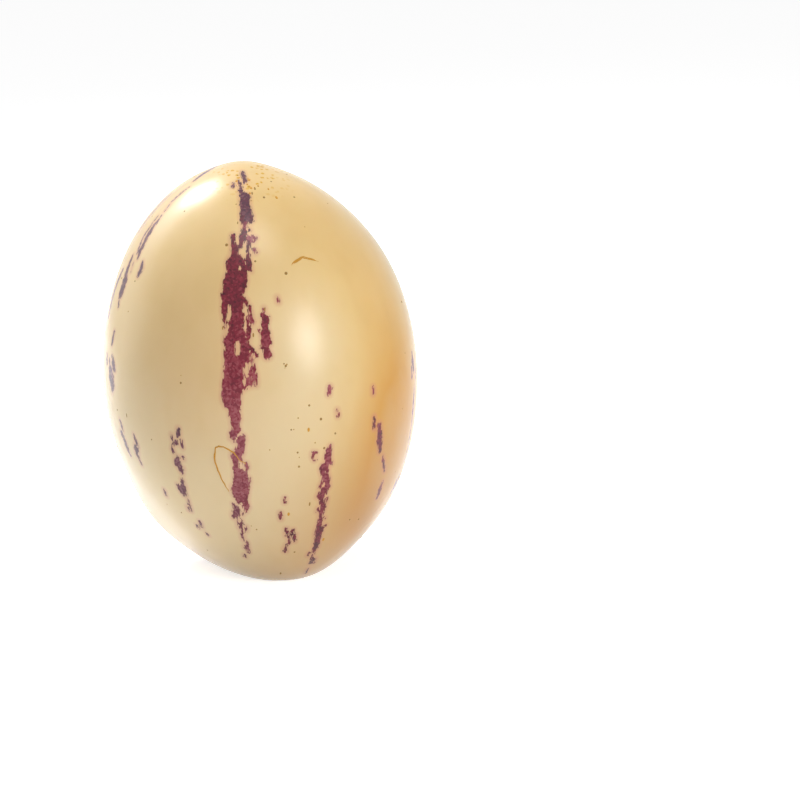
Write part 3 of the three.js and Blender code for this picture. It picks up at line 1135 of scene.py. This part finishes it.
LOOP_SCAR: tuple[Place, ...] = (
    (-13, -24), (-15, -20.5), (-16.5, -16.5), (-17, -13.5), (-16, -11), (-15, -10.5), (-12.5, -11),
    (-10, -12), (-8, -14), (-6, -15), (-5.5, -16.5),
)
ROOF_SCAR: tuple[Place, ...] = (
    (16.3, 38), (17.8, 38.9), (20.5, 39.8), (23.1, 40.4), (25.5, 39.7), (29.7, 38.4),
)
ROOF_EDGE: tuple[Place, ...] = ((17.5, 38.3), (19.5, 39.1), (22.5, 40), (24.5, 39.6), (27, 39))
BACK_SCARS: tuple[tuple[Place, ...], ...] = (
    ((112, 30), (115, 27), (119, 25.5), (122, 22)),
    ((-163, -8), (-160, -12), (-160, -17), (-163, -20), (-167, -19)),
)


@dataclass
class ThreadScars:
    """Hair-fine healed scratches: ochre threads of cork that stand a little out of the peel.

    Attributes:
        radius: Half a thread's thickness, in metres.
        spacing: The length of each bit of thread, in metres.
        steps: How many times the skin is looked up between two places of a scar.
        paleness: How far the threads are from dark brown to ochre.
    """

    radius: float = 0.18 * MM
    spacing: float = 0.4 * MM
    steps: int = 4
    paleness: float = 0.85

    def build(self, skin: SkinMap, cork: Material) -> Object:
        """Make all the threads as one piece.

        Args:
            skin: Finds places on the peel.
            cork: Their material.

        Returns:
            The piece.
        """
        points: list[Vector] = []
        edges: list[tuple[int, int]] = []
        for scar in (LOOP_SCAR, ROOF_SCAR, ROOF_EDGE, *BACK_SCARS):
            first = len(points)
            for start, end in zip(scar, scar[1:]):
                for i in range(self.steps):
                    share = i / self.steps
                    turn = start[0] + (end[0] - start[0]) * share
                    lift = start[1] + (end[1] - start[1]) * share
                    points.append(skin.find(turn, lift)[0])
            points.append(skin.find(*scar[-1])[0])
            edges += [(i, i + 1) for i in range(first, len(points) - 1)]
        route = bpy.data.meshes.new("thread_routes")
        route.from_pydata(points, edges, [])
        sizes = {"Radius": self.radius, "Spacing": self.spacing}
        piece = grow_piece("thread_scars", self.thread_tree(cork, sizes), sizes, route)
        hand_over(piece)
        return piece

    def thread_tree(self, cork: Material, sizes: dict[str, float]) -> NodeTree:
        """Build the tree that runs an uneven thread along each route.

        Args:
            cork: The threads' material.
            sizes: The tree's named inputs.

        Returns:
            The tree.
        """
        tree, given = new_shape_tree("thread_shape", sizes)
        line = add_node(tree, "GeometryNodeMeshToCurve", {"Mesh": given})
        even = add_node(
            tree, "GeometryNodeResampleCurve",
            {"Curve": line, "Length": given.outputs["Spacing"]},
            mode="LENGTH",
        )
        wander = add_node(tree, "ShaderNodeTexNoise", {"Scale": 700.0, "Detail": 2.0})
        centred = add_node(
            tree, "ShaderNodeVectorMath",
            {0: wander.outputs["Color"], 1: (0.5, 0.5, 0.5)},
            operation="SUBTRACT",
        )
        nudge = add_node(tree, "ShaderNodeVectorMath", {0: centred, "Scale": 0.5 * MM}, operation="SCALE")
        bent = add_node(tree, "GeometryNodeSetPosition", {"Geometry": even, "Offset": nudge})
        share = add_node(tree, "GeometryNodeSplineParameter")
        ends = add_node(tree, "ShaderNodeMath", {0: share, 1: 0.5}, operation="PINGPONG")
        taper = add_node(tree, "ShaderNodeMapRange", {0: ends, 2: 0.12, 3: 0.25, 4: 1.0})
        uneven = add_node(tree, "ShaderNodeMapRange", {0: wander, 1: 0.3, 2: 0.7, 3: 0.55, 4: 1.15})
        thickness = add_node(tree, "ShaderNodeMath", {0: taper, 1: uneven}, operation="MULTIPLY")
        profile = add_node(
            tree, "GeometryNodeCurvePrimitiveCircle", {"Resolution": 8, "Radius": given.outputs["Radius"]}
        )
        tube = add_node(
            tree, "GeometryNodeCurveToMesh",
            {"Curve": bent, "Profile Curve": profile, "Scale": thickness, "Fill Caps": True},
        )
        pale = add_node(
            tree, "GeometryNodeStoreNamedAttribute",
            {"Geometry": tube, "Name": "paleness", "Value": self.paleness},
            data_type="FLOAT", domain="POINT",
        )
        smooth = add_node(tree, "GeometryNodeSetShadeSmooth", {"Geometry": pale})
        close_shape_tree(tree, smooth, cork)
        return tree


@dataclass
class Fruit:
    """The pepino melon's body: an egg drawn up to a blunt tip, standing on low lobes.

    Attributes:
        sizes: The shape tree's named inputs, in metres except for the shares.
        swellings: Longitude and latitude in degrees, height in millimetres and spread in degrees.
        waves: Direction, phase in radians and height in millimetres of each slow wave.
        ripe_and_light_patches: Longitude and latitude in degrees, strength and spread in degrees; some of
            these patches are painted light.
        tan_and_shade_patches: The same, for where the peel is browner; most of these are painted shade.
        scab_patches: The same, for where it is cracked.
        ripe_everywhere: How ripe it is outside the patches.
        most_tan_and_shade: The dullest that the browner tone and the painted shade make the peel.
        scab_floor: What is taken off the cracks, so that they end.
        climb: How long the way up the skin is, against a circle's of the half length.
        sheet_share: How much of its place on the baking sheet each side of the cube fills.
        cells: How many mesh cells lie along each side of the cube that is blown up into the skin.
    """

    sizes: dict[str, float] = field(
        default_factory=lambda: {
            "Equator Radius": EQUATOR_RADIUS * MM,
            "Half Length": HALF_LENGTH * MM,
            "Tip Pinch": 0.036,
            "Tip Pinch Start": 0.55,
            "Tip Rise": 0.86 * MM,
            "Tip Rise Radius": 7 * MM,
            "Lean": 0.4 * MM,
            "Lean Curve": 3.0 * MM,
            "Dimple Depth": 9 * MM,
            "Dimple Radius": 8.5 * MM,
            "Pad Cut": 0.6 * MM,
        }
    )
    swellings: Patches = (
        (11, -67, 1.6, 16),
        (-122, -67, 1.7, 16),
        (126, -67, 1.5, 16),
        (180, -66, -1.1, 14),
        (79, -60, -1.7, 14),
        (-80, -50, -2.5, 22),
        (-92, -44, 1.9, 11),
    )
    waves: tuple[tuple[tuple[float, float, float], float, float], ...] = (
        ((2.6, -1.4, 3.1), 0.4, 0.16),
        ((-3.4, 2.2, 1.7), 2.1, 0.12),
        ((1.2, 4.1, -2.8), 4.4, 0.12),
    )
    ripe_and_light_patches: Patches = (
        (45, 35, 0.38, 34),
        # Painted highlight: paler, creamier peel round the front highlight.
        (20, 17, -0.25, 15),
        (-35, 25, 0.14, 28),
        (14, -10, -0.15, 20),
        # Painted sheen: paler, creamier peel low on the left, where the white floor is reflected.
        (-35, -35, -0.25, 26),
        # Painted reflection, laid in as a riper cheek: a golden blush low on the right, for warm light
        # bounced onto the fruit.
        (60, -14, 0.75, 20),
        (56, -40, 0.5, 15),
        (0, 90, 0.08, 22),
        (-165, 20, 0.35, 40),
    )
    tan_and_shade_patches: Patches = (
        # Painted shade: a darker, browner band left of the front, between the lit sides.
        (-20, 6, 0.35, 22),
        # Painted shade: the lower right darker, deepening the golden painted reflection there to orange
        # brown.
        (38, -42, 0.45, 18),
        (58, -20, 0.35, 18),
        # Painted shade: the underside darker round the dimple, just above the floor.
        (0, -90, 0.5, 24),
        # The peel's own browner tone round the back.
        (140, -35, 0.3, 25),
    )
    scab_patches: Patches = ((8, 78, 1.8, 9),)
    ripe_everywhere: float = 0.2
    most_tan_and_shade: float = 0.85
    scab_floor: float = 0.2
    climb: float = 0.88
    sheet_share: float = 0.985
    cells: int = 127

    def shape_tree(self, skin: Material) -> NodeTree:
        """Build the tree that blows a cube up into the fruit.

        Args:
            skin: The material of the peel.

        Returns:
            The tree.
        """
        tree, given = new_shape_tree("pepino_shape", self.sizes)
        size = given.outputs
        cube = add_node(
            tree, "GeometryNodeMeshCube",
            {"Size": (2, 2, 2), **{f"Vertices {axis}": self.cells + 1 for axis in "XYZ"}},
        )
        place = add_node(tree, "GeometryNodeInputPosition")
        kept = add_node(
            tree, "GeometryNodeStoreNamedAttribute",
            {"Geometry": cube, "Name": "cube", "Value": place},
            data_type="FLOAT_VECTOR", domain="POINT",
        )
        angle = add_node(tree, "ShaderNodeVectorMath", {0: place, "Scale": math.pi / 4}, operation="SCALE")
        spread = add_node(tree, "ShaderNodeVectorMath", {0: angle}, operation="TANGENT")
        unit = add_node(tree, "ShaderNodeVectorMath", {0: spread}, operation="NORMALIZE")
        aimed = add_node(
            tree, "GeometryNodeStoreNamedAttribute",
            {"Geometry": kept, "Name": "way", "Value": unit},
            data_type="FLOAT_VECTOR", domain="POINT",
        )
        way = add_node(tree, "GeometryNodeInputNamedAttribute", {"Name": "way"}, data_type="FLOAT_VECTOR")
        egg = self.egg(tree, size, way)
        push = self.unevenness(tree, way)
        pushed = add_node(tree, "ShaderNodeVectorMath", {0: way, "Scale": push}, operation="SCALE")
        skin_place = add_node(tree, "ShaderNodeVectorMath", {0: egg, 1: pushed}, operation="ADD")
        blown = add_node(tree, "GeometryNodeSetPosition", {"Geometry": aimed, "Position": skin_place})
        standing = self.stand(tree, size, blown)
        smooth = add_node(tree, "GeometryNodeSetShadeSmooth", {"Geometry": standing})
        close_shape_tree(tree, smooth, skin)
        return tree

    def egg(self, tree: NodeTree, size: NodeInputs, way: Feed) -> Node:
        """Place each direction on the egg, with its pinched tip, its dimple and its lean.

        Args:
            tree: The shape tree.
            size: The tree's named inputs.
            way: The direction of each point.

        Returns:
            The place.
        """
        parts = add_node(tree, "ShaderNodeSeparateXYZ", {0: way})
        height = parts.outputs["Z"]
        narrowest = add_node(tree, "ShaderNodeMath", {0: 1.0, 1: size["Tip Pinch"]}, operation="SUBTRACT")
        narrowing = add_node(
            tree, "ShaderNodeMapRange",
            {0: height, 1: size["Tip Pinch Start"], 2: 1.0, 3: 1.0, 4: narrowest},
            interpolation_type="SMOOTHSTEP",
        )
        waist = add_node(
            tree, "ShaderNodeMath", {0: size["Equator Radius"], 1: narrowing}, operation="MULTIPLY"
        )
        reach = add_node(tree, "ShaderNodeCombineXYZ", {0: waist, 1: waist, 2: size["Half Length"]})
        plain = add_node(tree, "ShaderNodeVectorMath", {0: way, 1: reach}, operation="MULTIPLY")
        flat = add_node(tree, "ShaderNodeVectorMath", {0: way, 1: (1, 1, 0)}, operation="MULTIPLY")
        off_axis = add_node(tree, "ShaderNodeVectorMath", {0: flat}, operation="LENGTH")
        radius = add_node(
            tree, "ShaderNodeMath", {0: off_axis, 1: size["Equator Radius"]}, operation="MULTIPLY"
        )
        lifts = []
        for depth, spread in (("Tip Rise", "Tip Rise Radius"), ("Dimple Depth", "Dimple Radius")):
            share = add_node(tree, "ShaderNodeMath", {0: radius, 1: size[spread]}, operation="DIVIDE")
            square = add_node(tree, "ShaderNodeMath", {0: share, 1: share}, operation="MULTIPLY")
            turned = add_node(tree, "ShaderNodeMath", {0: square, 1: -1.0}, operation="MULTIPLY")
            bell = add_node(tree, "ShaderNodeMath", {0: turned}, operation="EXPONENT")
            lifts.append(
                add_node(tree, "ShaderNodeMath", {0: bell, 1: size[depth]}, operation="MULTIPLY")
            )
        upper = add_node(tree, "ShaderNodeMath", {0: height, 1: 0.0}, operation="GREATER_THAN")
        lift = add_node(tree, "ShaderNodeMix", {0: upper, 2: lifts[1], 3: lifts[0]}, data_type="FLOAT")
        square = add_node(tree, "ShaderNodeMath", {0: height, 1: height}, operation="MULTIPLY")
        curve = add_node(
            tree, "ShaderNodeMath",
            {0: square, 1: size["Lean Curve"], 2: size["Lean"]},
            operation="MULTIPLY_ADD",
        )
        lean = add_node(tree, "ShaderNodeMath", {0: curve, 1: height}, operation="MULTIPLY")
        back = add_node(tree, "ShaderNodeMath", {0: lean, 1: -1.0}, operation="MULTIPLY")
        shift = add_node(tree, "ShaderNodeCombineXYZ", {0: back, 2: lift})
        return add_node(tree, "ShaderNodeVectorMath", {0: plain, 1: shift}, operation="ADD")

    def unevenness(self, tree: NodeTree, way: Feed) -> Node:
        """Add up the lobes, valleys and slow waves of the skin.

        Args:
            tree: The shape tree.
            way: The direction of each point.

        Returns:
            How far the skin stands out, in metres.
        """
        total: Node | float = 0.0
        for longitude, latitude, height, spread in self.swellings:
            width = math.radians(spread) ** 2
            centre = tuple(direction(longitude, latitude))
            facing = add_node(tree, "ShaderNodeVectorMath", {0: way, 1: centre}, operation="DOT_PRODUCT")
            fall = add_node(
                tree, "ShaderNodeMath", {0: facing, 1: 1 / width, 2: -1 / width}, operation="MULTIPLY_ADD"
            )
            bell = add_node(tree, "ShaderNodeMath", {0: fall}, operation="EXPONENT")
            total = add_node(
                tree, "ShaderNodeMath", {0: bell, 1: height * MM, 2: total}, operation="MULTIPLY_ADD"
            )
        for vector, phase, height in self.waves:
            along = add_node(tree, "ShaderNodeVectorMath", {0: way, 1: vector}, operation="DOT_PRODUCT")
            late = add_node(tree, "ShaderNodeMath", {0: along, 1: phase}, operation="ADD")
            wave = add_node(tree, "ShaderNodeMath", {0: late}, operation="SINE")
            total = add_node(
                tree, "ShaderNodeMath", {0: wave, 1: height * MM, 2: total}, operation="MULTIPLY_ADD"
            )
        return total

    def stand(self, tree: NodeTree, size: NodeInputs, shape: Feed) -> Node:
        """Stand the fruit on the ground, with the middle of its outline over the origin.

        Args:
            tree: The shape tree.
            size: The tree's named inputs.
            shape: The fruit round its own middle.

        Returns:
            The fruit with its lobes flattened where it rests.
        """
        place = add_node(tree, "GeometryNodeInputPosition")
        limits = add_node(
            tree, "GeometryNodeAttributeStatistic",
            {"Geometry": shape, "Attribute": place},
            data_type="FLOAT_VECTOR",
        )
        limit = {s.name: s for s in limits.outputs if s.enabled}
        both = add_node(tree, "ShaderNodeVectorMath", {0: limit["Min"], 1: limit["Max"]}, operation="ADD")
        middle = add_node(tree, "ShaderNodeVectorMath", {0: both, "Scale": 0.5}, operation="SCALE")
        across = add_node(tree, "ShaderNodeSeparateXYZ", {0: middle})
        lowest = add_node(tree, "ShaderNodeSeparateXYZ", {0: limit["Min"]})
        ground = add_node(
            tree, "ShaderNodeMath", {0: lowest.outputs["Z"], 1: size["Pad Cut"]}, operation="ADD"
        )
        foot = add_node(
            tree, "ShaderNodeCombineXYZ", {0: across.outputs["X"], 1: across.outputs["Y"], 2: ground}
        )
        moved = add_node(tree, "ShaderNodeVectorMath", {0: place, 1: foot}, operation="SUBTRACT")
        floor = (-1, -1, 0)
        pressed = add_node(tree, "ShaderNodeVectorMath", {0: moved, 1: floor}, operation="MAXIMUM")
        return add_node(tree, "GeometryNodeSetPosition", {"Geometry": shape, "Position": pressed})

    def build(self, skin: WaxySkin, streaks: Streaks) -> SkinMap:
        """Make the body and paint what the skin's pattern follows.

        Args:
            skin: The finish of the peel.
            streaks: The purple streaks.

        Returns:
            A map of the finished skin.
        """
        piece = grow_piece("pepino_body", self.shape_tree(skin.make()), self.sizes)
        mesh = piece.data
        way = self.read(mesh, "way").astype(float)
        way /= np.linalg.norm(way, axis=1)[:, None]
        streaks.paint(mesh, way)
        self.store_grain(mesh, way)
        self.store_tones_and_painted_light(mesh, way)
        self.unwrap(mesh)
        for name in ("cube", "way"):
            mesh.attributes.remove(mesh.attributes[name])
        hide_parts(FRUIT)
        hand_over(piece)
        return SkinMap(piece, way)

    def read(self, mesh: Mesh, name: str) -> np.ndarray:
        """Read a vector that the shape tree stored on each point.

        Args:
            mesh: The skin's mesh.
            name: The attribute's name.

        Returns:
            Three numbers for each point.
        """
        values = np.empty(len(mesh.vertices) * 3, np.float32)
        mesh.attributes[name].data.foreach_get("vector", values)
        return values.reshape(-1, 3)

    def patches(self, way: np.ndarray, rows: Patches) -> np.ndarray:
        """Add up soft round patches.

        Args:
            way: The direction of each of the skin's points.
            rows: Longitude and latitude in degrees, strength and spread in degrees of each patch.

        Returns:
            A number for each point.
        """
        total = np.zeros(len(way))
        for longitude, latitude, amount, spread in rows:
            total += amount * np.exp((way @ direction(longitude, latitude) - 1) / math.radians(spread) ** 2)
        return total

    def store_tones_and_painted_light(self, mesh: Mesh, way: np.ndarray) -> None:
        """Store how ripe the peel looks with its painted light, where it is browner or in painted shade, and
        where it is cracked round the tip.

        Args:
            mesh: The skin's mesh.
            way: The direction of each of its points.
        """
        store(mesh, "ripeness_and_light", self.patches(way, self.ripe_and_light_patches) + self.ripe_everywhere)
        store(mesh, "tan_and_shade", np.clip(self.patches(way, self.tan_and_shade_patches), 0, self.most_tan_and_shade))
        store(mesh, "scab", np.clip(self.patches(way, self.scab_patches) - self.scab_floor, 0, 1))

    def store_grain(self, mesh: Mesh, way: np.ndarray) -> None:
        """Store millimetres round and down the fruit, so that a pattern can follow its length.

        Args:
            mesh: The skin's mesh.
            way: The direction of each of its points.
        """
        flat = way[:, :2] / np.maximum(np.hypot(way[:, 0], way[:, 1]), 1e-6)[:, None]
        climb = np.arcsin(np.clip(way[:, 2], -1, 1)) * HALF_LENGTH * self.climb
        store(mesh, "grain", np.column_stack((flat * EQUATOR_RADIUS, climb)))

    def unwrap(self, mesh: Mesh) -> None:
        """Lay the six sides of the cube out in a flat sheet for baking, three across and two up.

        Args:
            mesh: The skin's mesh.
        """
        corners = np.empty(len(mesh.loops), np.int32)
        mesh.loops.foreach_get("vertex_index", corners)
        at = self.read(mesh, "cube")[corners].reshape(-1, 4, 3)
        middle = at.mean(1)
        axis = np.abs(middle).argmax(1)
        side = axis + 3 * (middle[np.arange(len(middle)), axis] > 0)
        turned = [((axis + turn) % 3)[:, None, None].repeat(4, 1) for turn in (1, 2)]
        across, up = (np.take_along_axis(at, which, 2)[:, :, 0] for which in turned)
        u = ((side % 3)[:, None] + 0.5 + across * self.sheet_share / 2) / 3
        v = ((side // 3)[:, None] + 0.5 + up * self.sheet_share / 2) / 2
        layer = mesh.uv_layers.new(name="OFBake")
        layer.data.foreach_set("uv", np.stack((u, v), 2).astype(np.float32).ravel())


@dataclass
class Studio:
    """The pale floor, the white surroundings and the soft lamps.

    Attributes:
        floor_size: The floor's width, in metres.
        card: The floor's own colour.
        floor_glow: How much light it adds for the rays that show it.
        surround: How bright the white room is.
        fade_peak: How bright the middle of a soft panel is, before it is squared.
    """

    floor_size: float = 6.0
    card: str = "EDEDED"
    floor_glow: float = 0.72
    surround: float = 0.28
    fade_peak: float = 2.8

    def build(self) -> None:
        """Make the floor, the world and the lamps."""
        self.add_floor()
        self.add_world()
        self.add_lamp("back_softbox", -139, 50, 0.55, (0.36, 0.42), 1.9, soft=True)
        self.add_lamp("back_sheet", -128, 36, 0.6, (0.6, 0.6), 0.5, soft=True)
        self.add_lamp("front_panel", 37, 17, 0.7, (0.62, 0.72), 2.0, soft=True)
        self.add_lamp("left_panel", -112, 4, 0.7, (0.4, 0.6), 0.6)
        self.add_lamp("top_panel", 10, 72, 0.9, (0.9, 0.9), 1.68, soft=True)

    def direct_rays(self, tree: NodeTree) -> Node:
        """Tell the rays that show the room, straight or in a gloss or glass, from those that light it.

        Args:
            tree: The tree that gets the nodes.

        Returns:
            One for the rays that show the room, and zero for the rest.
        """
        rays = add_node(tree, "ShaderNodeLightPath").outputs
        shiny = add_node(
            tree, "ShaderNodeMath",
            {0: rays["Is Glossy Ray"], 1: rays["Is Transmission Ray"]},
            operation="MAXIMUM",
        )
        return add_node(tree, "ShaderNodeMath", {0: rays["Is Camera Ray"], 1: shiny}, operation="MAXIMUM")

    def add_floor(self) -> None:
        """Make the floor: white to the camera, apart from the fruit's own shadow."""
        half = self.floor_size / 2
        mesh = bpy.data.meshes.new("floor")
        corners = [(-half, -half, 0), (half, -half, 0), (half, half, 0), (-half, half, 0)]
        mesh.from_pydata(corners, [], [(0, 1, 2, 3)])
        floor = add_object("floor", mesh)
        material = bpy.data.materials.new("white_card_floor")
        tree = empty_tree(material)
        card = add_node(tree, "ShaderNodeBsdfDiffuse", {"Color": linear(self.card)})
        glow = add_node(tree, "ShaderNodeEmission", {"Color": (1, 1, 1, 1), "Strength": self.floor_glow})
        lit = add_node(tree, "ShaderNodeAddShader", {0: card, 1: glow})
        seen = add_node(tree, "ShaderNodeMixShader", {0: self.direct_rays(tree), 1: card, 2: lit})
        add_node(tree, "ShaderNodeOutputMaterial", {"Surface": seen})
        mesh.materials.append(material)

    def add_world(self) -> None:
        """Light the scene from a white room that looks pure white."""
        world = bpy.data.worlds.new("white_room")
        bpy.context.scene.world = world
        tree = empty_tree(world)
        strength = add_node(
            tree, "ShaderNodeMix", {0: self.direct_rays(tree), 2: self.surround, 3: 1.0}, data_type="FLOAT"
        )
        glow = add_node(tree, "ShaderNodeBackground", {"Color": (1, 1, 1, 1), "Strength": strength})
        add_node(tree, "ShaderNodeOutputWorld", {"Surface": glow})

    def add_lamp(
        self, name: str, azimuth: float, elevation: float, distance: float, size: Place, power: float,
        soft: bool = False,
    ) -> None:
        """Hang a soft lamp that faces the fruit.

        Args:
            name: The lamp's name.
            azimuth: Degrees round from the front, towards +X.
            elevation: Degrees above the middle of the fruit.
            distance: Metres from the middle of the fruit.
            size: Width and height of its panel, in metres.
            power: Watts.
            soft: Whether the panel fades out from its middle to its rim.
        """
        away = Vector(direction(azimuth, elevation))
        light = bpy.data.lights.new(name, "AREA")
        light.shape = "RECTANGLE"
        light.size, light.size_y = size
        light.energy = power
        if soft:
            self.fade_panel(light)
        lamp = add_object(name, light)
        lamp.visible_camera = False
        lamp.location = MIDDLE + away * distance
        lamp.rotation_euler = (-away).to_track_quat("-Z", "Y").to_euler()

    def fade_panel(self, light: Light) -> None:
        """Fade a lamp's panel from its middle to its rim, as cloth over a lamp does.

        Args:
            light: The lamp's data.
        """
        tree = empty_tree(light)
        panel = add_node(tree, "ShaderNodeNewGeometry")
        centre = (0.5, 0.5, 0)
        out = add_node(
            tree, "ShaderNodeVectorMath", {0: panel.outputs["Parametric"], 1: centre}, operation="DISTANCE"
        )
        fade = add_node(
            tree, "ShaderNodeMapRange",
            {0: out, 1: 0.5, 2: 0.0, 3: 0.0, 4: self.fade_peak},
            interpolation_type="SMOOTHSTEP",
        )
        peak = add_node(tree, "ShaderNodeMath", {0: fade, 1: fade}, operation="MULTIPLY")
        glow = add_node(tree, "ShaderNodeEmission", {"Strength": peak})
        add_node(tree, "ShaderNodeOutputLight", {"Surface": glow})


@dataclass
class Viewpoint:
    """The camera: a long lens, a little above the fruit, which stands left of the middle.

    Attributes:
        lens: Focal length in millimetres.
        distance: Metres from the middle of the fruit.
        elevation: Degrees above it.
        aim: How far right of the fruit's middle, and how high, the camera looks, in metres.
    """

    lens: float = 135.0
    distance: float = 0.6886
    elevation: float = 10.92
    aim: Place = (0.032, 0.03875)

    def build(self) -> None:
        """Make the camera and give it to the scene."""
        camera = bpy.data.cameras.new("camera")
        camera.lens = self.lens
        camera.clip_start = 0.01
        camera.clip_end = 20
        holder = add_object("camera", camera)
        holder.location = MIDDLE + Vector(direction(0, self.elevation)) * self.distance
        target = Vector((MIDDLE.x + self.aim[0], MIDDLE.y, self.aim[1]))
        holder.rotation_euler = (target - holder.location).to_track_quat("-Z", "Y").to_euler()
        bpy.context.scene.camera = holder


def main() -> None:
    """Build the scene, piece by piece."""
    logging.basicConfig(level=logging.INFO, format="%(name)s: %(message)s")
    bpy.context.scene.view_settings.view_transform = "Standard"
    Viewpoint().build()
    Studio().build()
    cork = DryCork().make()
    skin = Fruit().build(WaxySkin(), Streaks())
    CorkSpecks().build(skin, cork)
    ThreadScars().build(skin, cork)
    StalkFibres().build(cork)
    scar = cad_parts[STALK_SCAR]
    scar.material_slots[0].material = cork


if __name__ == "__main__":
    main()
